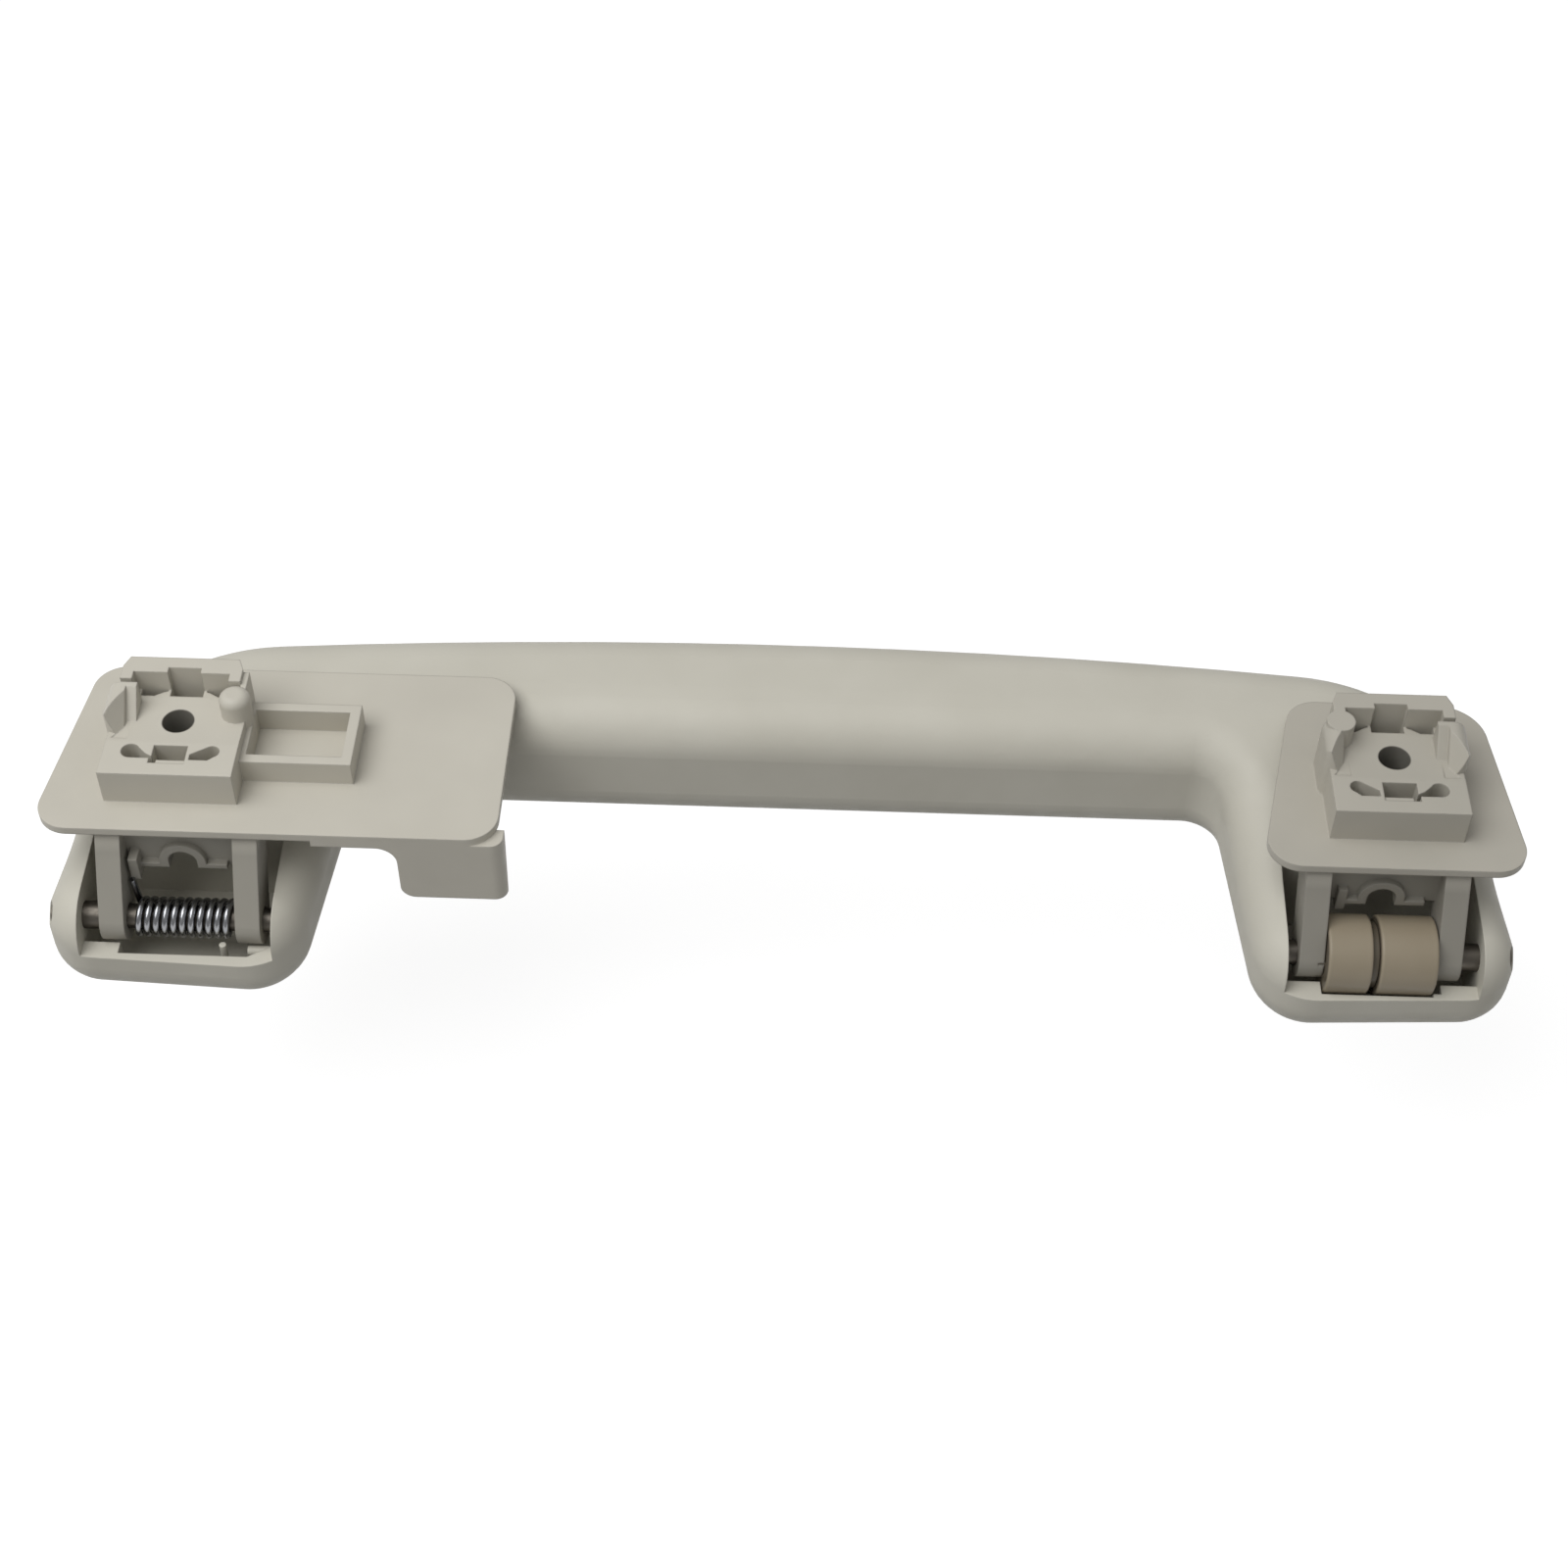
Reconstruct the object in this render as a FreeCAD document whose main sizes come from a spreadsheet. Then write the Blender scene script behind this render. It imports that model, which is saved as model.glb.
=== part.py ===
# Fold-down roof grab handle of a car: one moulded grip, two moulded brackets that screw to the roof,
# a hinge pin in each leg, a torsion spring on one pin and a rotary damper on the other.
#
# Millimetres. X runs along the handle, Y from the leg ends to the bar, Z up towards the roof.
# The origin is midway between the two screw holes, on the brackets' mounting face.
# Most pieces are drawn twice from one set of sizes: side -1 is the hook bracket's end with the
# spring, side +1 the plain bracket's end with the damper. "Out" is the distance along X from a
# screw hole, positive towards the handle's own end on that side.

import FreeCAD, Part
import Sketcher
import math
import os
import re

HOOK_SIDE = -1
PLAIN_SIDE = 1

SIZES = {
    # Screws and mounting plates
    "hole_spacing": 205,
    "screw_hole": 5.3,
    "plate_thick": 1.5,
    "plate_front": 18.9,
    "plate_rear": 19.3,
    "plate_out_front": 22.7,
    "plate_out_rear": 18.0,
    "plain_out_front": 22.0,
    "plain_in_front": 22.8,
    "plain_in_rear": 14.6,
    "hook_plate_in": 55.2,
    "plate_round": 5.5,
    "plain_outer_round": 8.0,
    # Locating block that stands on each plate and goes into the roof
    "block_half": 11.2,
    "block_front": 12.6,
    "block_height": 6.9,
    "block_back": 10.6,
    "block_back_half": 9.3,
    "ridge_height": 11.2,
    "ridge_front": 7.1,
    "ridge_side_out": 10.2,
    "ridge_side_in": 8.2,
    "ridge_side_front": 5.4,
    "ridge_corner": 2.2,
    "dish_radius": 45.0,
    "dish_depth": 0.3,
    "pocket_floor": 1.0,
    # Ears beside the screw hole
    "ear_in": 8.8,
    "ear_out": 12.0,
    "ear_front": 3.4,
    "ear_back": 4.5,
    "ear_round": 2.4,
    "ear_foot_out": 10.0,
    "ear_foot_front": 1.4,
    "ear_lean": 2.4,
    "ramp_in": 7.0,
    "ramp_front": 0.3,
    "ramp_back": 3.6,
    "scallop_out": 9.2,
    "scallop_back": 4.0,
    "scallop_radius": 2.4,
    "post_radius": 2.65,
    "post_out": 9.55,
    "post_back": 2.5,
    "post_dome": 1.6,
    "fin_out": 11.2,
    "fin_height": 10.4,
    # Pockets between the screw hole and the ridge
    "back_pocket_near": 5.6,
    "mid_pocket_in": 3.2,
    "mid_pocket_out": 2.4,
    "mid_pocket_far": 8.25,
    "side_pocket_out": 7.4,
    "side_pocket_in": 8.0,
    "pocket_rib": 0.5,
    "pocket_hump": 1.2,
    "pocket_hump_run": 2.2,
    # Slot and keyholes in front of the screw hole
    "slot_half": 2.85,
    "slot_near": 9.0,
    "slot_far": 5.9,
    "slot_step": 0.3,
    "key_radius": 1.55,
    "key_out": 6.6,
    "key_mid": 7.3,
    "key_neck_in": 4.0,
    "key_neck_far": 7.75,
    "key_notch_in": 2.0,
    "key_notch_out": 3.2,
    "key_notch_far": 8.4,
    "key_notch_near": 9.95,
    "leaf_radius": 1.3,
    "leaf_out": 7.0,
    "leaf_mid": 7.05,
    "leaf_tip": 3.45,
    "leaf_tip_far": 7.8,
    "leaf_near": 9.05,
    "leaf_foot": 6.6,
    # Arms that carry the hinge
    "pivot_spacing": 202,
    "pivot_front": 22.5,
    "pivot_drop": 18.0,
    "arm_gap": 18.8,
    "arm_thick": 4.2,
    "arm_end_radius": 4.1,
    "arm_root_front": 17.5,
    "arm_root_back": 10.0,
    "web_front": 16.2,
    "web_thick": 1.6,
    "web_drop": 11.0,
    "arch_radius": 3.95,
    "arch_bore": 2.4,
    "arch_rise": 1.6,
    "arch_proud": 1.2,
    "web_rib_half": 7.4,
    "web_rib_thick": 1.0,
    "stay_tab_place": 8.0,
    "plain_tab_place": 6.6,
    "stay_tab_width": 1.6,
    "stay_tab_top": 7.6,
    "stay_tab_bottom": 12.5,
    # Locating frame and coat hook of the hook bracket
    "frame_reach": 30.0,
    "frame_near": 7.1,
    "frame_far": 6.9,
    "frame_height": 4.7,
    "frame_wall": 1.8,
    "flange_start": 24.2,
    "flange_drop": 2.8,
    "hook_start": 38.3,
    "hook_end": 56.2,
    "hook_drop": 15.0,
    "hook_thick": 3.8,
    "hook_tip_thick": 2.2,
    "hook_corner_round": 2.1,
    "hook_tip_round": 2.5,
    "hook_root_round": 3.5,
    # Grip outline, seen from the roof
    "bar_outer": 36.6,
    "bow_radius": 1000,
    "bar_inner": 10.6,
    "shoulder_half": 119.2,
    "leg_end": 31.0,
    "leg_end_outer": 29.2,
    "leg_end_out": 125.8,
    "leg_end_in": 81.6,
    "leg_root_in": 76.6,
    "shoulder_round": 34,
    "leg_end_round": 9,
    "leg_end_round_in": 10.5,
    "crook_round": 6,
    # Grip outline, seen from its end
    "bar_top": 2.2,
    "bar_bottom": 25.3,
    "leg_slope_top": 16.0,
    "leg_slope_foot": 10.0,
    "leg_slope_drop": 11.2,
    "leg_top_end": 12.9,
    "leg_bottom": 33.2,
    "slope_round": 30,
    "top_round": 8,
    "belly_round": 8,
    # Hinge pocket in each leg
    "pocket_in": 85.4,
    "pocket_out": 118.0,
    "pocket_back": 8.0,
    "floor_thick": 5.0,
    "sill_drop": 20.8,
    "sill_wall": 2.6,
    "ledge_width": 6.2,
    "spring_ledge_deep": 2.3,
    "damper_ledge_deep": 1.9,
    "corner_width": 4.5,
    "corner_deep": 2.9,
    "head_relief_half": 9.0,
    "head_relief_back": 9.5,
    "head_relief_drop": 13.5,
    "damper_clear": 0.4,
    "prop_width": 1.5,
    "prop_deep": 2.0,
    "prop_drop": 23.0,
    "peg_radius": 0.9,
    "peg_length": 4.7,
    "peg_front": 26.2,
    "peg_drop": 21.8,
    "stop_radius": 0.6,
    "stop_place": 94.25,
    "stop_front": 26.4,
    "stop_drop": 20.2,
    # Hinge pins
    "pin_radius": 2.1,
    "pin_start": 82.3,
    "pin_end": 123.4,
    "pin_entry": 10.0,
    "pin_running": 0.05,
    "pin_collar": 2.4,
    "pin_collar_clear": 0.1,
    # Torsion spring
    "wire": 1.15,
    "coil_radius": 2.93,
    "coil_pitch": 1.48,
    "coil_turns": 11,
    "coil_end_gap": 0.6,
    "stay_leg_top": 11.9,
    "prop_leg_foot": 0.6,
    # Rotary damper
    "damper_radius": 6.8,
    "damper_round": 0.5,
    "rotor_length": 7.5,
    "damper_groove": 1.25,
    "groove_radius": 5.6,
    "damper_end_clear": 0.2,
    "core_radius": 4.6,
    "core_length": 8.0,
    "core_clear": 0.1,
    "drive_width": 3.4,
    "drive_length": 7.6,
    "drive_deep": 1.0,
    "key_width": 3.0,
    "key_bite": 0.6,
    "seal_radius": 0.5,
    "seal_place": 1.6,
    "seal_clear": 0.05,
    # How far a cut runs on past the face that it opens
    "cut_past": 1.0,
}

# A sketch shape is first drawn about this large, and its dimensions then move it
FIRST_DRAWN = 10.0
# Edges are found by their place: how near it, and how long at least
NEAR = 0.02
SHORTEST = 0.2

doc = FreeCAD.newDocument("RoofGrabHandle")
sheet = doc.addObject("Spreadsheet::Sheet", "Dims")
for row, (alias, value) in enumerate(SIZES.items(), start=1):
    sheet.set("A%d" % row, alias)
    sheet.set("B%d" % row, str(value))
    sheet.setAlias("B%d" % row, alias)
doc.recompute()


def size(alias):
    """The number that the sheet holds for a named size."""
    return float(sheet.get(alias))


def bind(text):
    """Turn a formula of named sizes into an expression on the sheet."""
    return re.sub(r"[a-z][a-z_]*", lambda m: "Dims." + m.group() if m.group() in SIZES else m.group(), text)


def from_hole(side, out):
    """X of a place given by its distance out from the screw hole."""
    return "%d * (hole_spacing / 2 + (%s))" % (side, out)


def from_pivot(side, out):
    """X of a place given by its distance out from the middle of the arms."""
    return "%d * (pivot_spacing / 2 + (%s))" % (side, out)


# Sketch shapes: each is a function that draws itself into a sketch

def place_point(sketch, geometry, point, across, up):
    for kind, text in (("DistanceX", across), ("DistanceY", up)):
        index = sketch.addConstraint(Sketcher.Constraint(kind, -1, 1, geometry, point, 1.0))
        sketch.setExpression("Constraints[%d]" % index, bind(text))


def polygon(*points):
    def draw(sketch):
        first = sketch.GeometryCount
        count = len(points)
        turn = 2 * math.pi / count
        ring = [FreeCAD.Vector(math.cos(turn * k), math.sin(turn * k), 0) * FIRST_DRAWN for k in range(count)]
        for k in range(count):
            sketch.addGeometry(Part.LineSegment(ring[k], ring[(k + 1) % count]), False)
        for k in range(count):
            sketch.addConstraint(Sketcher.Constraint("Coincident", first + k, 2, first + (k + 1) % count, 1))
        for k, (across, up) in enumerate(points):
            place_point(sketch, first + k, 1, across, up)
    return draw


def rectangle(left, right, low, high):
    return polygon((left, low), (right, low), (right, high), (left, high))


def circle(across, up, radius):
    def draw(sketch):
        drawn = Part.Circle(FreeCAD.Vector(0, 0, 0), FreeCAD.Vector(0, 0, 1), FIRST_DRAWN)
        ring = sketch.addGeometry(drawn, False)
        place_point(sketch, ring, 3, across, up)
        index = sketch.addConstraint(Sketcher.Constraint("Radius", ring, FIRST_DRAWN))
        sketch.setExpression("Constraints[%d]" % index, bind(radius))
    return draw


# Features: each is added to a body and checked that it changes the solid

def new_body(name):
    body = doc.addObject("PartDesign::Body", name)
    body.Label = name
    return body


def add_sketch(body, name, role, offset, shapes):
    sketch = body.newObject("Sketcher::SketchObject", name)
    plane = [origin for origin in body.Origin.OriginFeatures if origin.Role == role][0]
    sketch.AttachmentSupport = [(plane, "")]
    sketch.MapMode = "FlatFace"
    sketch.setExpression("AttachmentOffset.Base.z", bind(offset))
    for draw in shapes:
        draw(sketch)
    doc.recompute()
    if not sketch.FullyConstrained:
        raise ValueError("%s isn't fully constrained" % name)
    return sketch


def settle(body, feature, name, grows, may_miss=False):
    """Rebuild, and make sure that the feature did what it is there for."""
    before = feature.BaseFeature.Shape.Volume if feature.BaseFeature else 0.0
    doc.recompute()
    change = feature.Shape.Volume - before
    missed = may_miss and abs(change) < NEAR
    if (change > 0) != grows and not missed:
        raise ValueError("%s changed the volume by %.3f" % (name, change))
    return feature


def pad(body, name, role, offset, length, shapes, reverse=False):
    feature = body.newObject("PartDesign::Pad", name)
    feature.Profile = add_sketch(body, name + "Sketch", role, offset, shapes)
    feature.setExpression("Length", bind(length))
    feature.Reversed = reverse
    return settle(body, feature, name, True)


def pocket(body, name, role, offset, length, shapes, reverse=False, may_miss=False):
    feature = body.newObject("PartDesign::Pocket", name)
    feature.Profile = add_sketch(body, name + "Sketch", role, offset, shapes)
    if length == "through":
        feature.Type = "ThroughAll"
        feature.SideType = "Symmetric"
    else:
        feature.setExpression("Length", bind(length))
        feature.Reversed = reverse
    return settle(body, feature, name, False, may_miss)


def fillet(body, base, name, radius, edges, grows=False):
    feature = body.newObject("PartDesign::Fillet", name)
    feature.Base = (base, edges)
    feature.setExpression("Radius", bind(radius))
    return settle(body, feature, name, grows)


def rim_at(feature, height, radius):
    """Round edges of a radius that lie flat at a height."""
    names = []
    for index, edge in enumerate(feature.Shape.Edges, start=1):
        box = edge.BoundBox
        flat = abs(box.ZMin - height) < NEAR and abs(box.ZMax - height) < NEAR
        if flat and abs(box.YLength - 2 * radius) < NEAR:
            names.append("Edge%d" % index)
    return names


def slant(body, name, low, high, near, far):
    """Cut away what stands between a low and a high sketch, which share one corner."""
    low_sketch = add_sketch(body, name + "LowSketch", "XY_Plane", low, [near])
    high_sketch = add_sketch(body, name + "HighSketch", "XY_Plane", high, [far])
    feature = body.newObject("PartDesign::SubtractiveLoft", name)
    feature.Profile = low_sketch
    feature.Sections = [high_sketch]
    feature.Ruled = True
    return settle(body, feature, name, False)


def edges_at(feature, direction, first, second):
    """Straight edges along an axis that pass through a place in the plane across it."""
    axes = {"X": (1, 2, 0), "Y": (0, 2, 1), "Z": (0, 1, 2)}[direction]
    names = []
    for index, edge in enumerate(feature.Shape.Edges, start=1):
        start, end = edge.Vertexes[0].Point, edge.Vertexes[-1].Point
        if abs(start[axes[2]] - end[axes[2]]) < SHORTEST:
            continue
        near = max(abs(p[axes[0]] - first) + abs(p[axes[1]] - second) for p in (start, end))
        if near < NEAR:
            names.append("Edge%d" % index)
    return names


# Bracket pieces that both ends share

def plate(body, side, out_front, in_front, in_rear, outer_round, inner_rounds):
    base = pad(body, body.Name + "Plate", "XY_Plane", "0", "plate_thick", [polygon(
        (from_hole(side, "-" + in_front), "-plate_front"),
        (from_hole(side, out_front), "-plate_front"),
        (from_hole(side, "plate_out_rear"), "plate_rear"),
        (from_hole(side, "-" + in_rear), "plate_rear"))], reverse=True)
    hole = side * size("hole_spacing") / 2
    front, rear = -size("plate_front"), size("plate_rear")
    rounds = (
        ("plate_round", [(side * size(out_front), front)]),
        (outer_round, [(side * size("plate_out_rear"), rear)]),
        (inner_rounds, [(-side * size(in_front), front), (-side * size(in_rear), rear)]),
    )
    for number, (radius, corners) in enumerate(rounds, start=1):
        edges = [name for x, y in corners for name in edges_at(base, "Z", hole + x, y)]
        base = fillet(body, base, "%sCorner%d" % (body.Name, number), radius, edges)
    return base


def block(body, side, inner_post):
    name = body.Name

    def out(text):
        return from_hole(side, text)

    pad(body, name + "Block", "XY_Plane", "0", "block_height", [polygon(
        (out("-block_half"), "-block_front"), (out("block_half"), "-block_front"),
        (out("block_half"), "ear_back"), (out("ridge_side_out"), "ridge_side_front"),
        (out("ridge_side_out"), "block_back - ridge_corner"), (out("block_back_half"), "block_back"),
        (out("-block_back_half"), "block_back"), (out("-ridge_side_out"), "block_back - ridge_corner"),
        (out("-ridge_side_out"), "ridge_side_front"), (out("-block_half"), "ear_back"))])
    pocket(body, name + "Dish", "YZ_Plane", "0", "through", [
        circle("0", "block_height - dish_depth + dish_radius", "dish_radius")])
    pad(body, name + "Ridge", "XY_Plane", "0", "ridge_height", [polygon(
        (out("-ridge_side_out"), "ridge_side_front"), (out("-ridge_side_in"), "ridge_side_front"),
        (out("-ridge_side_in"), "ridge_front"), (out("ridge_side_in"), "ridge_front"),
        (out("ridge_side_in"), "ridge_side_front"), (out("ridge_side_out"), "ridge_side_front"),
        (out("ridge_side_out"), "block_back - ridge_corner"), (out("block_back_half"), "block_back"),
        (out("-block_back_half"), "block_back"), (out("-ridge_side_out"), "block_back - ridge_corner"))])
    ears(body, side, inner_post)
    pocket(body, name + "ScrewHole", "XY_Plane", "0", "through", [
        circle(out("0"), "0", "screw_hole / 2")])
    pocket(body, name + "BackPockets", "XY_Plane", "ridge_height", "ridge_height - pocket_floor", [
        rectangle(out("-mid_pocket_in"), out("mid_pocket_out"), "back_pocket_near", "mid_pocket_far"),
        back_side_pocket(out, "", "mid_pocket_out + pocket_rib", "side_pocket_out"),
        back_side_pocket(out, "-", "mid_pocket_in + pocket_rib", "side_pocket_in")])
    if not inner_post:
        pad(body, name + "Scallop", "XY_Plane", "0", "ridge_height", [
            circle(out("-scallop_out"), "scallop_back", "scallop_radius")])
    keyhole_and_leaf(body, out)


def keyhole_and_leaf(body, out):
    """Front holes: a slot with a shallow step, a keyhole at its outer side and a leaf at its inner side."""
    name = body.Name
    floor_depth = "block_height - pocket_floor"
    pocket(body, name + "FrontHoles", "XY_Plane", "block_height", floor_depth, [
        rectangle(out("-slot_half"), out("slot_half"), "-slot_near", "-slot_far"),
        circle(out("key_out"), "-key_mid", "key_radius"),
        circle(out("-leaf_out"), "-leaf_mid", "leaf_radius")])
    pocket(body, name + "SlotStep", "XY_Plane", "block_height", "slot_step", [
        rectangle(out("-slot_half"), out("slot_half"), "-key_notch_near", "-slot_near")])
    half, tall = "/ 2", "* sqrt(3) / 2"
    pocket(body, name + "FrontNecks", "XY_Plane", "block_height", floor_depth, [
        polygon(
            (out("key_out - key_radius" + half), "-key_mid + key_radius" + tall),
            (out("key_neck_in"), "-key_neck_far"), (out("slot_half"), "-key_notch_far"),
            (out("key_notch_in"), "-key_notch_far"), (out("key_notch_in"), "-key_notch_near"),
            (out("key_notch_out"), "-key_notch_near"), (out("key_notch_out"), "-key_mid - key_radius"),
            (out("key_out"), "-key_mid - key_radius")),
        polygon(
            (out("-leaf_tip"), "-leaf_near"), (out("-leaf_tip"), "-leaf_tip_far"),
            (out("-leaf_out + leaf_radius" + half), "-leaf_mid + leaf_radius" + tall),
            (out("-leaf_out - leaf_radius" + tall), "-leaf_mid - leaf_radius" + half),
            (out("-leaf_foot"), "-leaf_near"))])


def back_side_pocket(out, sign, near_rib, far):
    """One of the two outer back pockets, whose near edge swells into a hump beside the rib."""
    return polygon(
        (out("%s(%s)" % (sign, near_rib)), "ridge_front"),
        (out("%s(%s)" % (sign, near_rib)), "back_pocket_near + pocket_hump"),
        (out("%s(%s + pocket_hump_run / 3)" % (sign, near_rib)), "back_pocket_near + pocket_hump * 3 / 4"),
        (out("%s(%s + pocket_hump_run)" % (sign, near_rib)), "back_pocket_near"),
        (out("%s(%s)" % (sign, far)), "back_pocket_near"),
        (out("%s(%s)" % (sign, far)), "ridge_front"))


def ears(body, side, inner_post):
    """Upright ears at both sides of the screw hole, or a domed post and a fin at the inner side."""
    ear(body, body.Name + "OuterEar", side, 1)
    ramp_x = from_hole(side, "ramp_in" if side > 0 else "ear_in")
    pad(body, body.Name + "Ramp", "YZ_Plane", ramp_x, "ear_in - ramp_in", [polygon(
        ("-ramp_front", "0"), ("ear_back", "0"), ("ear_back", "ridge_height"), ("ramp_back", "ridge_height"),
        ("-ramp_front", "block_height - dish_depth"))])
    if inner_post:
        post_and_fin(body, side)
    else:
        ear(body, body.Name + "InnerEar", side, -1)


def ear(body, name, side, sign):
    """A lug with a rounded outer side, whose front corner leans back towards that side."""

    def place(text):
        return from_hole(side, "%d * (%s)" % (sign, text))

    lug = pad(body, name, "XY_Plane", "0", "ridge_height", [
        rectangle(place("ear_in"), place("ear_out"), "-ear_front", "ear_back")])
    edge_x = side * (size("hole_spacing") / 2 + sign * size("ear_out"))
    fillet(body, lug, name + "Round", "ear_round",
           edges_at(lug, "Y", edge_x, size("ridge_height")) + edges_at(lug, "Z", edge_x, -size("ear_front")))
    steep = "((ear_front - ear_foot_front) / (ear_foot_out - ear_in))"
    low, high = "block_height - dish_depth", "ridge_height + cut_past"
    lean = "ear_lean * (%s - block_height) / (ridge_height - block_height)"

    def corner(shift):
        """The corner of the lug that leans, moved outwards; its long side is the line of the slope."""
        return polygon(
            (place("ear_in - cut_past"), "-ear_front - cut_past"),
            (place("ear_foot_out + %s + cut_past / %s" % (shift, steep)), "-ear_front - cut_past"),
            (place("ear_in - cut_past"), "-ear_foot_front + (%s + cut_past) * %s" % (shift, steep)))

    slant(body, name + "Slope", low, high, corner(lean % low), corner(lean % high))


def post_and_fin(body, side):
    name = body.Name
    post = pad(body, name + "Post", "XY_Plane", "0", "ridge_height", [
        circle(from_hole(side, "-post_out"), "post_back", "post_radius")])
    rim = rim_at(post, size("ridge_height"), size("post_radius"))
    fillet(body, post, name + "PostDome", "post_dome", rim)
    pad(body, name + "Fin", "XY_Plane", "0", "fin_height", [
        rectangle(from_hole(side, "-ridge_side_out"), from_hole(side, "-fin_out"),
                  "post_back", "block_back - ridge_corner")])


def arms(body, side):
    """Two arms that lean forward and down from the plate to round ends on the hinge line."""
    name = body.Name
    run = "(pivot_front - (arm_root_front + arm_root_back) / 2)"
    rise = "(pivot_drop - plate_thick)"
    length = "sqrt(%s ^ 2 + %s ^ 2)" % (run, rise)
    across, along = "arm_end_radius * %s / %s" % (rise, length), "arm_end_radius * %s / %s" % (run, length)
    sides = {"Outer": "arm_gap / 2", "Inner": "-arm_gap / 2 - arm_thick"}
    for label, out in sides.items():
        low = from_pivot(side, out if side > 0 else out + " + arm_thick")
        pad(body, name + label + "Arm", "YZ_Plane", low, "arm_thick", [polygon(
            ("-arm_root_back", "-plate_thick"),
            ("-pivot_front + " + across, "-pivot_drop - " + along),
            ("-pivot_front - " + across, "-pivot_drop + " + along),
            ("-arm_root_front", "-plate_thick"))])
        pad(body, name + label + "ArmEnd", "YZ_Plane", low, "arm_thick", [
            circle("-pivot_front", "-pivot_drop", "arm_end_radius")])


def web(body, side, tab_place, tab_reach):
    """Thin wall between the arms, with a bottom rib, a half-round boss and a tab for the spring."""
    name = body.Name

    def out(text):
        return from_pivot(side, text)

    pad(body, name + "Web", "XZ_Plane", "web_front - web_thick", "web_thick", [
        rectangle(out("-arm_gap / 2"), out("arm_gap / 2"), "-web_drop", "-plate_thick")])
    pad(body, name + "WebRib", "XZ_Plane", "web_front", "arch_proud", [
        rectangle(out("-web_rib_half"), out("web_rib_half"), "-web_drop", "-web_drop + web_rib_thick")])
    pad(body, name + "Arch", "XZ_Plane", "web_front", "arch_proud", [
        circle(out("0"), "-web_drop + arch_rise", "arch_radius")])
    pocket(body, name + "ArchFoot", "XZ_Plane", "web_front - web_thick", "web_thick + arch_proud", [
        rectangle(out("-arch_radius"), out("arch_radius"),
                  "-web_drop - arch_radius", "-web_drop")], reverse=True)
    pocket(body, name + "ArchBore", "XZ_Plane", "0", "through", [
        circle(out("0"), "-web_drop + arch_rise", "arch_bore")])
    pocket(body, name + "ArchMouth", "XZ_Plane", "web_front - web_thick", "web_thick + arch_proud", [
        rectangle(out("-arch_bore"), out("arch_bore"),
                  "-web_drop - cut_past", "-web_drop + arch_rise")], reverse=True)
    pad(body, name + "StayTab", "XZ_Plane", "web_front - web_thick", "web_thick + " + tab_reach, [rectangle(
        "%d * pivot_spacing / 2 - %s - stay_tab_width / 2" % (side, tab_place),
        "%d * pivot_spacing / 2 - %s + stay_tab_width / 2" % (side, tab_place),
        "-stay_tab_bottom", "-stay_tab_top")])


def pivot_bore(body):
    pocket(body, body.Name + "PivotBore", "YZ_Plane", "0", "through", [
        circle("-pivot_front", "-pivot_drop", "pin_radius + pin_running")])


# Plain bracket

plain = new_body("plain_bracket")
plate(plain, PLAIN_SIDE, "plain_out_front", "plain_in_front", "plain_in_rear",
      "plain_outer_round", "plate_round")
block(plain, PLAIN_SIDE, inner_post=False)
arms(plain, PLAIN_SIDE)
web(plain, PLAIN_SIDE, "plain_tab_place", "arch_proud")
# Keeps the web clear of a damper that is larger or nearer than this one
pocket(plain, "DamperRoom", "YZ_Plane", from_pivot(PLAIN_SIDE, "-arm_gap / 2"), "arm_gap", [
    circle("-pivot_front", "-pivot_drop", "damper_radius + damper_clear")], reverse=True, may_miss=True)
pivot_bore(plain)
drive_start = from_pivot(PLAIN_SIDE, "-arm_gap / 2 - drive_deep")
pocket(plain, "DriveSlot", "YZ_Plane", drive_start, "drive_deep", [
    rectangle("-pivot_front - drive_length / 2", "-pivot_front + drive_length / 2",
              "-pivot_drop - drive_width / 2", "-pivot_drop + drive_width / 2")], reverse=True)

# Hook bracket, with its locating frame and coat hook

hook = new_body("hook_bracket")
plate(hook, HOOK_SIDE, "plate_out_front", "hook_plate_in", "hook_plate_in", "plate_round", "plate_round")
block(hook, HOOK_SIDE, inner_post=True)
arms(hook, HOOK_SIDE)
web(hook, HOOK_SIDE, "stay_tab_place", "(pivot_front - coil_radius - wire / 2 - web_front)")
pivot_bore(hook)


def hook_in(text):
    return from_hole(HOOK_SIDE, "-(%s)" % text)


pad(hook, "LocatingFrame", "XY_Plane", "0", "frame_height", [
    rectangle(hook_in("block_half"), hook_in("frame_reach"), "-frame_near", "frame_far"),
    rectangle(hook_in("block_half + frame_wall / 2"), hook_in("frame_reach - frame_wall"),
              "-frame_near + frame_wall", "frame_far - frame_wall")])
flange = pad(hook, "CoatHook", "XZ_Plane", "plate_front - hook_thick", "hook_thick", [polygon(
    (hook_in("flange_start"), "-plate_thick"), (hook_in("flange_start"), "-flange_drop"),
    (hook_in("hook_start"), "-flange_drop"), (hook_in("hook_start"), "-hook_drop"),
    (hook_in("hook_end"), "-hook_drop"), (hook_in("hook_end"), "-plate_thick"))])
hook_x = {name: -size("hole_spacing") / 2 + size(name) for name in ("hook_start", "hook_end")}
flange = fillet(hook, flange, "HookRoot", "hook_root_round",
                edges_at(flange, "Y", hook_x["hook_start"], -size("flange_drop")), grows=True)
taper = pocket(hook, "HookTaper", "YZ_Plane", hook_in("hook_start - hook_root_round"),
               "hook_end - hook_start + hook_root_round", [polygon(
                   ("-plate_front + hook_thick", "-flange_drop"),
                   ("-plate_front + hook_tip_thick", "-hook_drop"),
                   ("-plate_front + hook_thick", "-hook_drop"))], reverse=True)
corner = edges_at(taper, "Z", hook_x["hook_end"], -size("plate_front"))
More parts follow.
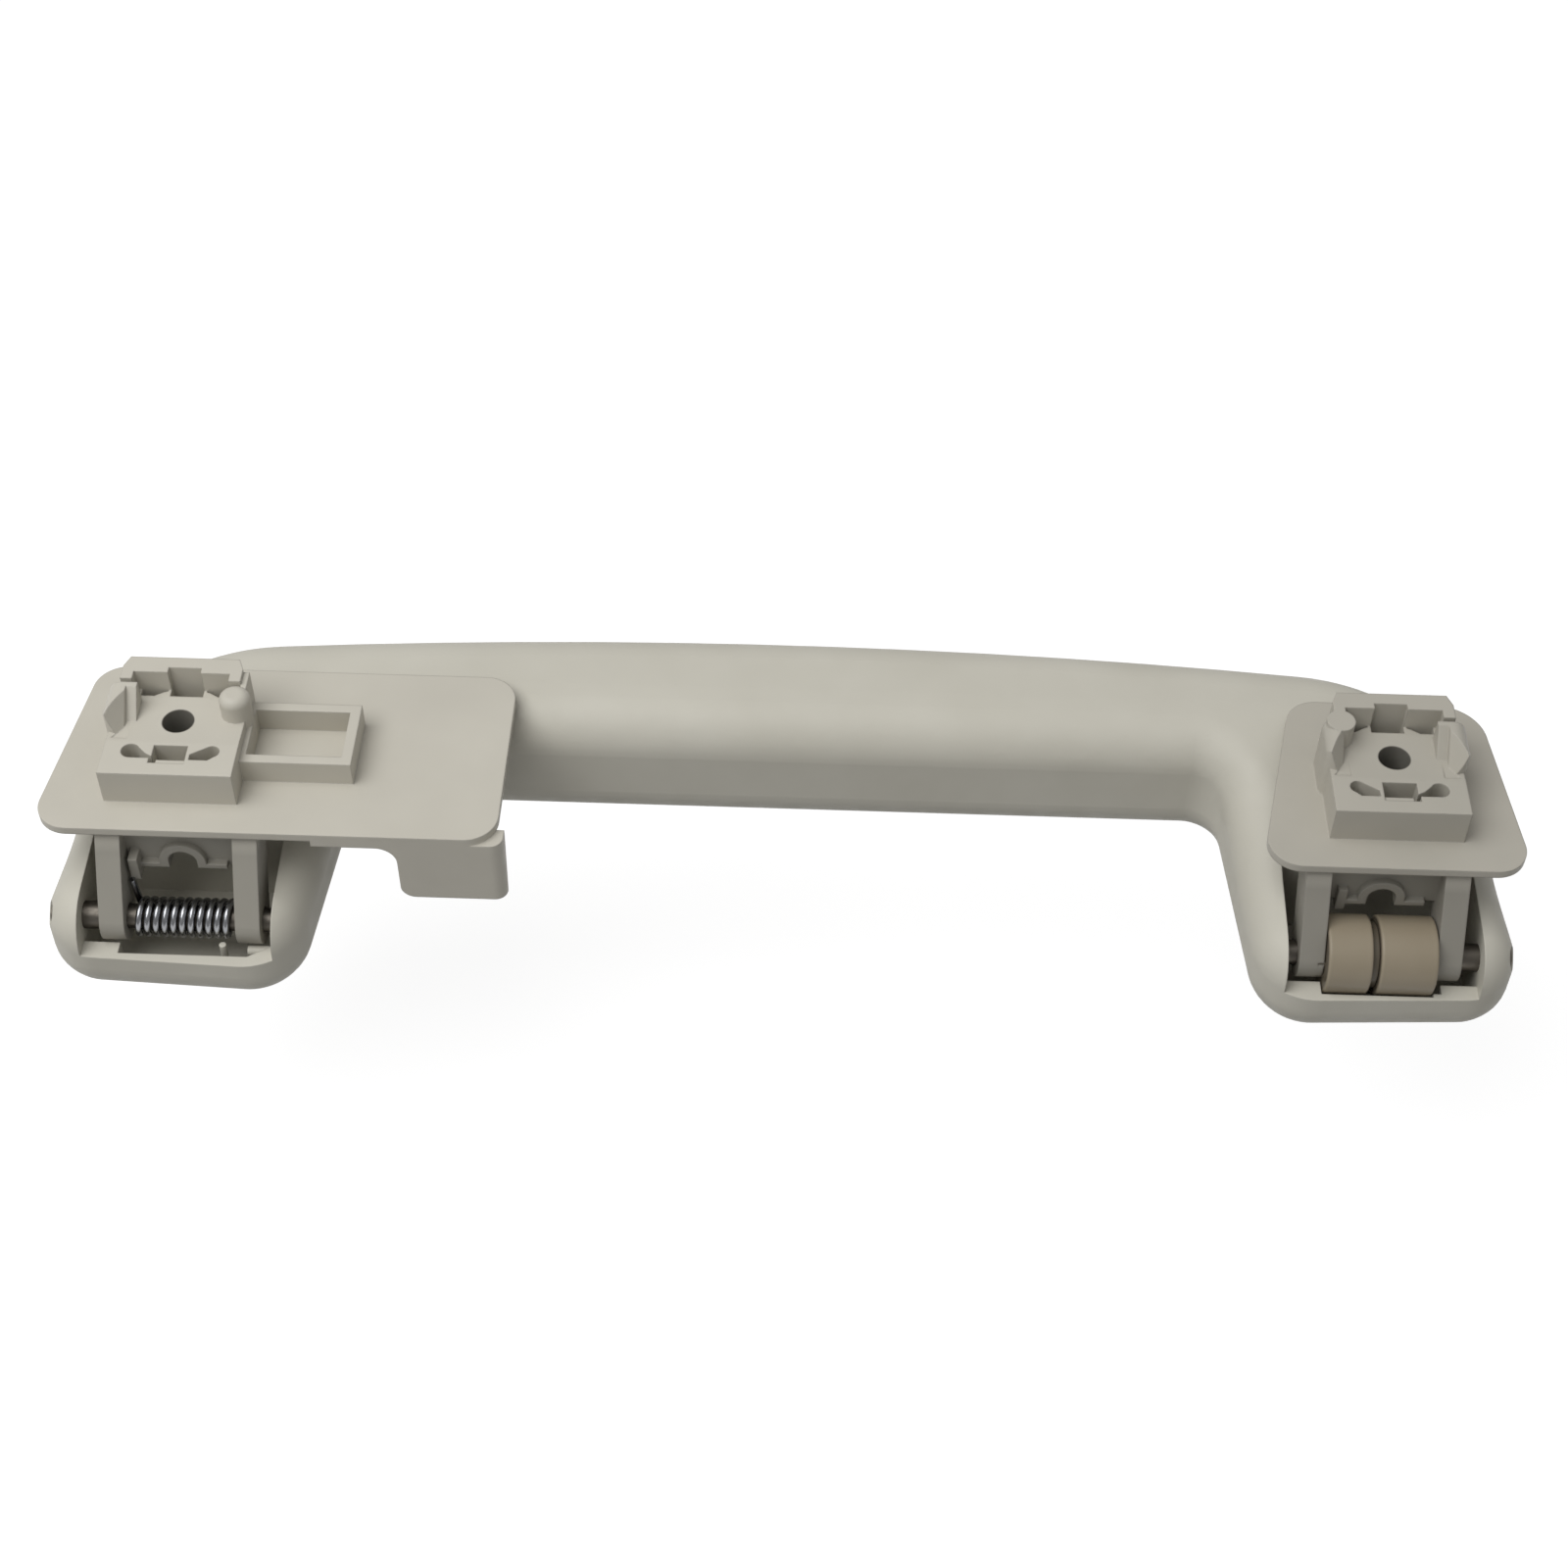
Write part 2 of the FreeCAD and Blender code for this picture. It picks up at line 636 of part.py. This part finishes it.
taper = fillet(hook, taper, "HookCorner", "hook_corner_round", corner)
fillet(hook, taper, "HookTip", "hook_tip_round",
       edges_at(taper, "Y", hook_x["hook_start"], -size("hook_drop")))

# Grip

grip = new_body("grip")


def grip_outline(sketch):
    """Both legs, the straight inner side of the bar and its slightly bowed outer side."""
    half, end, outer_end = size("shoulder_half"), -size("leg_end"), -size("leg_end_outer")
    bow, outer = size("bow_radius"), size("bar_outer")
    lean = math.asin(half / bow)
    centre = FreeCAD.Vector(0, outer - bow, 0)
    round_bow = Part.ArcOfCircle(
        Part.Circle(centre, FreeCAD.Vector(0, 0, 1), bow), math.pi / 2 - lean, math.pi / 2 + lean)
    height = centre.y + bow * math.cos(lean)
    corners = [
        (-half, height, "-shoulder_half", None),
        (-size("leg_end_out"), outer_end, "-leg_end_out", "-leg_end_outer"),
        (-size("leg_end_in"), end, "-leg_end_in", "-leg_end"),
        (-size("leg_root_in"), size("bar_inner"), "-leg_root_in", "bar_inner"),
        (size("leg_root_in"), size("bar_inner"), "leg_root_in", "bar_inner"),
        (size("leg_end_in"), end, "leg_end_in", "-leg_end"),
        (size("leg_end_out"), outer_end, "leg_end_out", "-leg_end_outer"),
        (half, height, "shoulder_half", None),
    ]
    arc = sketch.addGeometry(round_bow, False)
    for start, stop in zip(corners[:-1], corners[1:]):
        sketch.addGeometry(Part.LineSegment(FreeCAD.Vector(start[0], start[1], 0),
                                            FreeCAD.Vector(stop[0], stop[1], 0)), False)
    last = len(corners) - 1
    for line in range(1, last):
        sketch.addConstraint(Sketcher.Constraint("Coincident", line, 2, line + 1, 1))
    sketch.addConstraint(Sketcher.Constraint("Coincident", arc, 2, 1, 1))
    sketch.addConstraint(Sketcher.Constraint("Coincident", last, 2, arc, 1))
    for kind, geometry, point, value, text in (
            [("Radius", arc, None, bow, "bow_radius"),
             ("DistanceX", arc, 3, 0.0, "0"),
             ("DistanceY", arc, 3, centre.y, "bar_outer - bow_radius"),
             ("DistanceX", arc, 1, half, "shoulder_half"),
             ("DistanceX", arc, 2, -half, "-shoulder_half")]
            + [(kind, line + 1, 1, value, text)
               for line, corner in enumerate(corners[:-1]) if corner[3]
               for kind, value, text in (("DistanceX", corner[0], corner[2]),
                                         ("DistanceY", corner[1], corner[3]))]):
        if kind == "Radius":
            index = sketch.addConstraint(Sketcher.Constraint(kind, geometry, value))
        else:
            index = sketch.addConstraint(Sketcher.Constraint(kind, -1, 1, geometry, point, value))
        sketch.setExpression("Constraints[%d]" % index, bind(text))


blank = pad(grip, "GripBlank", "XY_Plane", "-leg_bottom", "leg_bottom - bar_top", [grip_outline])
bow_sag = size("bow_radius") - math.sqrt(size("bow_radius") ** 2 - size("shoulder_half") ** 2)
plan_rounds = (
    ("shoulder_round", size("shoulder_half"), size("bar_outer") - bow_sag),
    ("leg_end_round", size("leg_end_out"), -size("leg_end_outer")),
    ("leg_end_round_in", size("leg_end_in"), -size("leg_end")),
    ("crook_round", size("leg_root_in"), size("bar_inner")),
)
for radius, x, y in plan_rounds:
    edges = edges_at(blank, "Z", x, y) + edges_at(blank, "Z", -x, y)
    blank = fillet(grip, blank, "Grip_" + radius, radius, edges, grows=radius == "crook_round")

beyond = "bar_outer * 2"
slope = pocket(grip, "LegSlopes", "YZ_Plane", "0", "through", [polygon(
    ("leg_slope_top", "-bar_top"), ("-leg_slope_foot", "-leg_slope_drop"), ("-leg_end", "-leg_top_end"),
    ("-" + beyond, "-leg_top_end"), ("-" + beyond, beyond), (beyond, beyond), (beyond, "-bar_top"))])
belly = pocket(grip, "Belly", "YZ_Plane", "0", "through", [polygon(
    ("-leg_end", "-leg_bottom"), ("bar_outer", "-bar_bottom"),
    (beyond, "-bar_bottom"), (beyond, "-leg_bottom - bar_outer"), ("-leg_end", "-leg_bottom - bar_outer"))])
for name, y, z in (("SlopeHead", size("leg_slope_top"), -size("bar_top")),
                   ("SlopeFoot", -size("leg_slope_foot"), -size("leg_slope_drop"))):
    edges = edges_at(belly, "X", y, z)
    belly = fillet(grip, belly, name, "slope_round", edges, grows=name == "SlopeFoot")


def rim_edge(feature, above):
    """One edge of the rim along the bar, from which a fillet runs on all round the grip."""
    middle = -(size("bar_top") + size("bar_bottom")) / 2
    for index, edge in enumerate(feature.Shape.Edges, start=1):
        box = edge.BoundBox
        along = box.XLength > size("leg_root_in") and box.YLength + box.ZLength < NEAR
        if along and abs(box.YMin - size("bar_inner")) < NEAR and (box.ZMin > middle) == above:
            return ["Edge%d" % index]
    raise ValueError("the bar has no such rim")


belly = fillet(grip, belly, "TopRound", "top_round", rim_edge(belly, True))
belly = fillet(grip, belly, "BellyRound", "belly_round", rim_edge(belly, False))


def hinge_pocket(side, low, high):
    return rectangle("%d * pocket_in" % side, "%d * pocket_out" % side, low, high)


pocket(grip, "HingeMouths", "XY_Plane", "-sill_drop", "sill_drop", [
    hinge_pocket(side, "-leg_end * 2", "-pocket_back") for side in (HOOK_SIDE, PLAIN_SIDE)], reverse=True)


def hinge_floor(side, ledge_deep, inner_ledge):
    """Deep part of a hinge pocket, with ledges at its front, or a cut corner at its inner side."""
    front, back = "-leg_end + sill_wall", "-pocket_back"
    step = "-leg_end + sill_wall + " + ledge_deep
    near, far = "%d * pocket_in" % side, "%d * pocket_out" % side
    near_ledge = "%d * (pocket_in + ledge_width)" % side
    far_ledge = "%d * (pocket_out - ledge_width)" % side
    corner = [(near, step), (near_ledge, step), (near_ledge, front)]
    if not inner_ledge:
        corner = [(near, front + " + corner_deep"), ("%d * (pocket_in + corner_width)" % side, front)]
    return polygon((near, back), *corner, (far_ledge, front), (far_ledge, step), (far, step), (far, back))


pocket_depth = "(leg_bottom - floor_thick)"
pocket(grip, "HingeFloors", "XY_Plane", "-sill_drop", pocket_depth + " - sill_drop", [
    hinge_floor(HOOK_SIDE, "spring_ledge_deep", False),
    hinge_floor(PLAIN_SIDE, "damper_ledge_deep", True)])
pocket(grip, "HeadReliefs", "XY_Plane", "-head_relief_drop", "head_relief_drop", [
    rectangle(from_hole(side, "-head_relief_half"), from_hole(side, "head_relief_half"),
              "-pocket_back - cut_past", "head_relief_back")
    for side in (HOOK_SIDE, PLAIN_SIDE)], reverse=True)
damper_start = from_pivot(PLAIN_SIDE, "-arm_gap / 2")
pocket(grip, "DamperSeat", "YZ_Plane", damper_start, "arm_gap", [
    circle("-pivot_front", "-pivot_drop", "damper_radius + damper_clear")], reverse=True)
prop_x = from_pivot(HOOK_SIDE, "-arm_gap / 2 + coil_end_gap + wire / 2")
pad(grip, "SpringProp", "XY_Plane", "-" + pocket_depth, pocket_depth + " - prop_drop", [rectangle(
    prop_x + " - prop_width / 2", prop_x + " + prop_width / 2",
    "-pivot_front + coil_radius + wire / 2", "-pivot_front + coil_radius + wire / 2 + prop_deep")])
pad(grip, "LedgePeg", "YZ_Plane", "-pocket_in - peg_length", "peg_length", [
    circle("-peg_front", "-peg_drop", "peg_radius")])
pad(grip, "StopPost", "XY_Plane", "-" + pocket_depth, pocket_depth + " - stop_drop", [
    circle("-stop_place", "-stop_front", "stop_radius")])
for side, label in ((HOOK_SIDE, "Spring"), (PLAIN_SIDE, "Damper")):
    start = "%d * pin_start" % side if side > 0 else "%d * (pin_end + pin_entry)" % side
    pocket(grip, label + "PinBore", "YZ_Plane", start, "pin_end + pin_entry - pin_start", [
        circle("-pivot_front", "-pivot_drop", "pin_radius")], reverse=True)

# Hinge pins, each with a collar between the outer arm and the wall of the leg


def hinge_pin(name, side):
    body = new_body(name)
    start = "%d * pin_start" % side if side > 0 else "%d * pin_end" % side
    pad(body, name + "Shank", "YZ_Plane", start, "pin_end - pin_start", [
        circle("-pivot_front", "-pivot_drop", "pin_radius")])
    arm_face = "pivot_spacing / 2 + arm_gap / 2 + arm_thick + pin_collar_clear"
    collar = "%s" % arm_face if side > 0 else "-pocket_out"
    pad(body, name + "Collar", "YZ_Plane", collar, "pocket_out - (%s)" % arm_face, [
        circle("-pivot_front", "-pivot_drop", "pin_collar")])


hinge_pin("spring_side_pin", HOOK_SIDE)
hinge_pin("damper_side_pin", PLAIN_SIDE)

# Torsion spring: a close coil on the pin, one leg up against the bracket and one down in the grip

pivot_y, pivot_z = -size("pivot_front"), -size("pivot_drop")
wire_radius = size("wire") / 2
coil_length = size("coil_pitch") * size("coil_turns")
coil_end = -size("pivot_spacing") / 2 + size("arm_gap") / 2 - size("coil_end_gap") - wire_radius
coil = Part.makeHelix(size("coil_pitch"), coil_length, size("coil_radius")).Edges[0]
ends = []
for parameter, away in ((coil.FirstParameter, -1), (coil.LastParameter, 1)):
    ends.append((coil.valueAt(parameter), coil.tangentAt(parameter) * away))
section = Part.Wire([Part.makeCircle(wire_radius, *ends[0])])
turns = Part.Wire([coil]).makePipeShell([section], True, True)
floor_drop = size("leg_bottom") - size("floor_thick")
lengths = (floor_drop + pivot_z - size("prop_leg_foot"), -pivot_z - size("stay_leg_top"))
legs = [Part.makeCylinder(wire_radius, length, *end) for length, end in zip(lengths, ends)]
spring = doc.addObject("Part::Feature", "return_spring")
spring.Label = "return_spring"
spring.Shape = turns.fuse(legs).mirror(FreeCAD.Vector(0, 0, coil_length / 2), FreeCAD.Vector(0, 0, 1))
onto_x = FreeCAD.Rotation(FreeCAD.Vector(0, 1, 0), FreeCAD.Vector(0, 0, -1), FreeCAD.Vector(1, 0, 0), "ZXY")
spring.Placement = FreeCAD.Placement(FreeCAD.Vector(coil_end - coil_length, pivot_y, pivot_z), onto_x)

# Rotary damper: a rotor that turns with the bracket and a housing that stays with the grip


def damper_x(text):
    """X of a place along the damper, from the face of the inner arm."""
    return from_pivot(PLAIN_SIDE, "-arm_gap / 2 + damper_end_clear + " + text)


def disc(body, name, start, length, radius):
    return pad(body, name, "YZ_Plane", start, length, [circle("-pivot_front", "-pivot_drop", radius)])


def barrel(body, name, start, length):
    """A drum of the damper's radius with both its rims rounded."""
    drum = disc(body, name, start, length, "damper_radius")
    rims = ["Edge%d" % index for index, edge in enumerate(drum.Shape.Edges, start=1)
            if edge.BoundBox.XLength < NEAR]
    return fillet(body, drum, name + "Rims", "damper_round", rims)


rotor = new_body("damper_rotor")
barrel(rotor, "RotorBarrel", damper_x("0"), "rotor_length")
disc(rotor, "RotorNeck", damper_x("rotor_length"), "damper_groove - core_clear", "groove_radius")
disc(rotor, "RotorCore", damper_x("rotor_length + damper_groove - core_clear"), "core_length", "core_radius")
drive_face = damper_x("-damper_end_clear - drive_deep")
pad(rotor, "RotorDrive", "YZ_Plane", drive_face, "damper_end_clear + drive_deep", [
    rectangle("-pivot_front - drive_length / 2", "-pivot_front + drive_length / 2",
              "-pivot_drop - drive_width / 2", "-pivot_drop + drive_width / 2")])
pocket(rotor, "RotorBore", "YZ_Plane", "0", "through", [
    circle("-pivot_front", "-pivot_drop", "pin_radius + pin_running")])
seal_x = damper_x("rotor_length + damper_groove + seal_place")
groove = "core_radius - seal_radius * 2 + seal_clear"
pocket(rotor, "SealGroove", "YZ_Plane", seal_x + " - seal_radius", "seal_radius * 2", [
    circle("-pivot_front", "-pivot_drop", "core_radius + core_clear"),
    circle("-pivot_front", "-pivot_drop", groove)], reverse=True)

housing = new_body("damper_housing")
housing_start = damper_x("rotor_length + damper_groove")
housing_length = "arm_gap - damper_end_clear * 2 - rotor_length - damper_groove"
barrel(housing, "HousingBarrel", housing_start, housing_length)
pocket(housing, "HousingChamber", "YZ_Plane", housing_start, "core_length + core_clear", [
    circle("-pivot_front", "-pivot_drop", "core_radius + core_clear")], reverse=True)
pocket(housing, "HousingBore", "YZ_Plane", "0", "through", [
    circle("-pivot_front", "-pivot_drop", "pin_radius")])
pad(housing, "HousingKey", "XY_Plane", "-" + pocket_depth,
    pocket_depth + " - pivot_drop - damper_radius + key_bite", [rectangle(
        housing_start + " + key_width", housing_start + " + key_width * 2",
        "-pivot_front - key_width / 2", "-pivot_front + key_width / 2")])

seal = doc.addObject("Part::Torus", "damper_seal")
seal.Label = "damper_seal"
seal.setExpression("Radius2", bind("seal_radius"))
seal.setExpression("Radius1", bind("core_radius - seal_radius + seal_clear"))
seal.Placement.Rotation = FreeCAD.Rotation(FreeCAD.Vector(0, 1, 0), 90)
seal.setExpression("Placement.Base.x", bind(seal_x))
seal.setExpression("Placement.Base.y", bind("-pivot_front"))
seal.setExpression("Placement.Base.z", bind("-pivot_drop"))

doc.recompute()
pieces = [found for found in doc.Objects if found.Label in (
    "grip", "hook_bracket", "plain_bracket", "spring_side_pin", "damper_side_pin",
    "return_spring", "damper_rotor", "damper_housing", "damper_seal")]
for found in doc.Objects:
    if "Invalid" in found.State or "Error" in found.State:
        raise ValueError("%s failed to build" % found.Label)
os.makedirs("parts", exist_ok=True)
for piece in pieces:
    shape = piece.Shape
    if shape.isNull() or not shape.isValid() or len(shape.Solids) != 1:
        raise ValueError("%s isn't one valid solid" % piece.Label)
    shape.exportStep("parts/%s.step" % piece.Label)
    print("%s: %.0f mm3" % (piece.Label, shape.Volume))
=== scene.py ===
# Looks of the fold-down roof grab handle: moulded plastic grip and brackets, steel pins and spring,
# a tan rotary damper. Everything is in metres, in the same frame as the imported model.

import math

import bpy
from mathutils import Matrix, Vector


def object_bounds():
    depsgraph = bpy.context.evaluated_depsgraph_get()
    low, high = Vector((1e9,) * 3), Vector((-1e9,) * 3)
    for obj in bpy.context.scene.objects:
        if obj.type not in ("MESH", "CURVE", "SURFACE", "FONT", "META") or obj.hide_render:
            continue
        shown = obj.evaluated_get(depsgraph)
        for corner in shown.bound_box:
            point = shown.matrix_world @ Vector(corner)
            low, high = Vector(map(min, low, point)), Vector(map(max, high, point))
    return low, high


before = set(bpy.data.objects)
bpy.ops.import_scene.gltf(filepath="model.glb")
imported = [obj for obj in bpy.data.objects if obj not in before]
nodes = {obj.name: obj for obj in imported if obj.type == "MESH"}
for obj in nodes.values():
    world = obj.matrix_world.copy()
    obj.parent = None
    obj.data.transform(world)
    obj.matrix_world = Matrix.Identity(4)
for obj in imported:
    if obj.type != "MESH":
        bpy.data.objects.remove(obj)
cad_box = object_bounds()

MM = 0.001
HINGE_Y, HINGE_Z = -22.5 * MM, -18 * MM
HOLE_X = 102.5 * MM
HOLE_RADIUS = 2.65 * MM
DAMPER_RADIUS = 6.8 * MM


class Recipe:
    """Builds one node material; every pattern reads Object coordinates."""

    def __init__(self, name):
        self.material = bpy.data.materials.new(name)
        self.material.use_nodes = True
        self.tree = self.material.node_tree
        self.shader = self.tree.nodes["Principled BSDF"]
        self.place = self.tree.nodes.new("ShaderNodeTexCoord").outputs["Object"]

    def node(self, kind, inputs=None, **settings):
        made = self.tree.nodes.new("ShaderNode" + kind)
        for key, value in settings.items():
            setattr(made, key, value)
        for key, value in (inputs or {}).items():
            if isinstance(value, bpy.types.NodeSocket):
                self.tree.links.new(value, made.inputs[key])
            else:
                made.inputs[key].default_value = value
        return made

    def noise(self, size, detail=2.0):
        """Noise whose blotches are about size metres across, as a 0 to 1 value."""
        return self.node("TexNoise", {"Vector": self.place, "Scale": 1 / size,
                                      "Detail": detail}).outputs["Fac"]

    def spread(self, value, low, high, start, end):
        """A value's run from low to high, stretched to the run from start to end and held there."""
        return self.node("MapRange", {"Value": value, "From Min": low, "From Max": high,
                                      "To Min": start, "To Max": end}).outputs["Result"]

    def patches(self, size, start, end, detail=2.0):
        """Noise whose darkest and lightest blotches reach start and end."""
        return self.spread(self.noise(size, detail), 0.3, 0.7, start, end)

    def product(self, first, second):
        return self.node("Math", {0: first, 1: second}, operation="MULTIPLY").outputs["Value"]

    def apart(self, place, keep):
        """Distance from a place, along the axes that keep has at 1."""
        gap = self.node("VectorMath", {0: self.place, 1: place}, operation="SUBTRACT").outputs["Vector"]
        flat = self.node("VectorMath", {0: gap, 1: keep}, operation="MULTIPLY").outputs["Vector"]
        return self.node("VectorMath", {0: flat}, operation="LENGTH").outputs["Value"]

    def height(self):
        return self.node("SeparateXYZ", {"Vector": self.place}).outputs["Z"]

    def link(self, value, socket):
        self.tree.links.new(value, self.shader.inputs[socket])

    def tint(self, value, dark, light, *painted_shades):
        """Base colour that runs from dark to light with a 0 to 1 value, darkened by each painted shade value.
        """
        ramp = self.node("ValToRGB", {"Fac": value})
        ramp.color_ramp.elements[0].color = (*dark, 1)
        ramp.color_ramp.elements[1].color = (*light, 1)
        colour = ramp.outputs["Color"]
        # Each extra value is painted shade that darkens the colour.
        for painted_shade in painted_shades:
            colour = self.node("VectorMath", {0: colour, "Scale": painted_shade}, operation="SCALE").outputs["Vector"]
        self.link(colour, "Base Color")

    def bump(self, value, depth, under):
        return self.node("Bump", {"Height": value, "Distance": depth, "Normal": under}).outputs["Normal"]

    def soft_edges(self, radius):
        """The surface with its sharp edges rounded off, as they come out of a mould."""
        return self.node("Bevel", {"Radius": radius}, samples=6).outputs["Normal"]


# Painted shade: darkening under the bracket plates, on the screw-hole walls and in the damper's groove. Each
# value is the share of the colour that is left under it.

ARM_PAINTED_SHADE, BORE_PAINTED_SHADE, GROOVE_PAINTED_SHADE = 0.6, 0.36, 0.4
PAINTED_SHADE_START, PAINTED_SHADE_FULL = -1.6 * MM, -5 * MM
HINGE_INSIDE, HINGE_OUTSIDE = 16 * MM, 18 * MM


def hinge_painted_shade(side):
    """Painted shade on a bracket's arms and web under its plate, and on the walls of its screw hole."""
    def painted_shades(r):
        under = r.spread(r.height(), PAINTED_SHADE_START, PAINTED_SHADE_FULL, 0.0, 1.0)
        off_hole = r.apart((side * HOLE_X, 0, 0), (1, 0, 0))
        beside = r.spread(off_hole, HINGE_OUTSIDE, HINGE_INSIDE, 0.0, 1.0)
        bore = r.apart((side * HOLE_X, 0, 0), (1, 1, 0))
        return (r.spread(r.product(under, beside), 0.0, 1.0, 1.0, ARM_PAINTED_SHADE),
                r.spread(bore, HOLE_RADIUS + 0.03 * MM, HOLE_RADIUS + 0.2 * MM, BORE_PAINTED_SHADE, 1.0))
    return painted_shades


def groove_painted_shade(r):
    """Painted shade in the groove between the damper's two halves."""
    off_hinge = r.apart((0, HINGE_Y, HINGE_Z), (0, 1, 1))
    return (r.spread(off_hinge, DAMPER_RADIUS - 0.6 * MM, DAMPER_RADIUS - 0.1 * MM, GROOVE_PAINTED_SHADE, 1.0),)


def no_painted_shade(r):
    return ()


# Finishes

DRIFT_SIZE, SHEEN_SIZE = 22 * MM, 3 * MM
FLOW_SIZE, FLOW_DEPTH = 9 * MM, 0.06 * MM
SCRATCH_DEPTH, METAL_EDGE = 0.01 * MM, 0.1 * MM


def moulded(name, dark, light, roughness, grain, grain_depth, edge, painted_shades=no_painted_shade):
    """Moulded plastic: slow colour drift, fine spark-eroded grain and faint flow waves."""
    r = Recipe(name)
    r.tint(r.patches(DRIFT_SIZE, 0.0, 1.0, detail=3.0), dark, light, *painted_shades(r))
    r.link(r.patches(SHEEN_SIZE, roughness - 0.05, roughness + 0.05), "Roughness")
    waves = r.bump(r.noise(FLOW_SIZE, detail=1.0), FLOW_DEPTH, r.soft_edges(edge))
    r.link(r.bump(r.noise(grain), grain_depth, waves), "Normal")
    r.shader.inputs["Specular IOR Level"].default_value = 0.35
    return r.material


def metal(name, dark, light, roughness, streak):
    """Bare metal with tarnish, streaks of a given size and fine scratches."""
    r = Recipe(name)
    r.tint(r.noise(streak, detail=3.0), dark, light)
    r.link(r.patches(streak / 2, roughness * 0.8, roughness * 1.25), "Roughness")
    r.link(r.bump(r.noise(streak / 4), SCRATCH_DEPTH, r.soft_edges(METAL_EDGE)), "Normal")
    r.shader.inputs["Metallic"].default_value = 1.0
    return r.material


steel = metal("pin_steel", (0.11, 0.10, 0.085), (0.16, 0.145, 0.125), roughness=0.45, streak=2 * MM)
# The damper plastic carries painted shade in the groove between its halves.
damper_plastic = moulded(
    "damper_plastic", (0.26, 0.215, 0.15), (0.30, 0.255, 0.185), roughness=0.36,
    grain=0.6 * MM, grain_depth=0.006 * MM, edge=0.25 * MM, painted_shades=groove_painted_shade)
finishes = {
    "grip": moulded(
        "grip_plastic", (0.53, 0.51, 0.44), (0.57, 0.55, 0.48), roughness=0.55,
        grain=0.35 * MM, grain_depth=0.012 * MM, edge=0.35 * MM),
    # The brackets carry painted shade under their plates and on their screw-hole walls.
    "hook_bracket": moulded(
        "bracket_plastic", (0.51, 0.485, 0.42), (0.55, 0.525, 0.455), roughness=0.48,
        grain=0.5 * MM, grain_depth=0.008 * MM, edge=0.4 * MM, painted_shades=hinge_painted_shade(-1)),
    # A darker copy of the bracket plastic: painted shade for the weaker light on the short bracket.
    "plain_bracket": moulded(
        "shaded_bracket_plastic", (0.43, 0.41, 0.355), (0.47, 0.445, 0.385), roughness=0.48,
        grain=0.5 * MM, grain_depth=0.008 * MM, edge=0.4 * MM, painted_shades=hinge_painted_shade(1)),
    "spring_side_pin": steel,
    "damper_side_pin": steel,
    "return_spring": metal(
        "spring_wire", (0.25, 0.255, 0.27), (0.40, 0.405, 0.42), roughness=0.22, streak=1 * MM),
    "damper_rotor": damper_plastic,
    "damper_housing": damper_plastic,
    "damper_seal": moulded(
        "seal_rubber", (0.015, 0.015, 0.015), (0.03, 0.03, 0.03), roughness=0.6,
        grain=0.3 * MM, grain_depth=0.004 * MM, edge=0.1 * MM),
}
for node, finish in finishes.items():
    nodes[node].data.materials.clear()
    nodes[node].data.materials.append(finish)


# Floor, low enough for the grip to hang open above it: pale, and white to the camera away from the
# handle's shadow

FLOOR_SIZE, FLOOR_SPACE = 6, 1 * MM
FLOOR_GREY, FLOOR_GLOW = 0.25, 0.86
open_reach = cad_box[1][1] - HINGE_Y
bpy.ops.mesh.primitive_plane_add(size=FLOOR_SIZE, location=(0, 0, HINGE_Z - open_reach - FLOOR_SPACE))
floor = bpy.context.object
floor.name = "floor"
paint = Recipe("floor_paint")
paint.shader.inputs["Base Color"].default_value = (FLOOR_GREY, FLOOR_GREY, FLOOR_GREY, 1)
paint.shader.inputs["Roughness"].default_value = 0.9
paint.shader.inputs["Emission Color"].default_value = (1, 1, 1, 1)
rays = paint.node("LightPath").outputs
seen = paint.node("Math", {0: rays["Is Camera Ray"], 1: rays["Is Glossy Ray"]}, operation="MAXIMUM")
paint.link(paint.product(seen.outputs["Value"], FLOOR_GLOW), "Emission Strength")
floor.data.materials.append(paint.material)


# Light: an even white sky and one large softbox, high on the left and a little to the front

SKY_STRENGTH = 0.38
SOFTBOX_POWER, SOFTBOX_SIZE, SOFTBOX_PLACE = 5.9, 0.75, (-0.36, -0.18, 0.75)
world = bpy.data.worlds.new("studio")
world.use_nodes = True
bpy.context.scene.world = world
sky = world.node_tree.nodes["Background"]
sky.inputs["Color"].default_value = (1, 1, 1, 1)
sky.inputs["Strength"].default_value = SKY_STRENGTH
lamp = bpy.data.lights.new("softbox", "AREA")
lamp.energy = SOFTBOX_POWER
lamp.size = SOFTBOX_SIZE
lamp.shape = "SQUARE"
holder = bpy.data.objects.new("softbox", lamp)
bpy.context.scene.collection.objects.link(holder)
holder.location = SOFTBOX_PLACE
holder.rotation_euler = (-holder.location).to_track_quat("-Z", "Y").to_euler()


# Camera: solved from the photograph, on the whole 1600 pixel frame

FOCAL_PIXELS, FRAME_PIXELS, SENSOR = 2600, 1600, 36.0
CAMERA_PLACE = (5.2 * MM, -296.3 * MM, 317.2 * MM)
YAW, PITCH, ROLL = (math.radians(angle) for angle in (-1.00, 47.34, 1.01))
ahead = Vector((math.sin(YAW) * math.cos(PITCH), math.cos(YAW) * math.cos(PITCH), -math.sin(PITCH)))
level = Vector((math.cos(YAW), -math.sin(YAW), 0))
upright = level.cross(ahead)
right = math.cos(ROLL) * level + math.sin(ROLL) * upright
up = math.cos(ROLL) * upright - math.sin(ROLL) * level
lens = bpy.data.cameras.new("camera")
lens.sensor_width = SENSOR
lens.lens = FOCAL_PIXELS / FRAME_PIXELS * SENSOR
camera = bpy.data.objects.new("camera", lens)
bpy.context.scene.collection.objects.link(camera)
turn = Matrix((right, up, -ahead)).transposed().to_4x4()
camera.matrix_world = Matrix.Translation(CAMERA_PLACE) @ turn
bpy.context.scene.camera = camera
bpy.context.scene.view_settings.view_transform = "Standard"
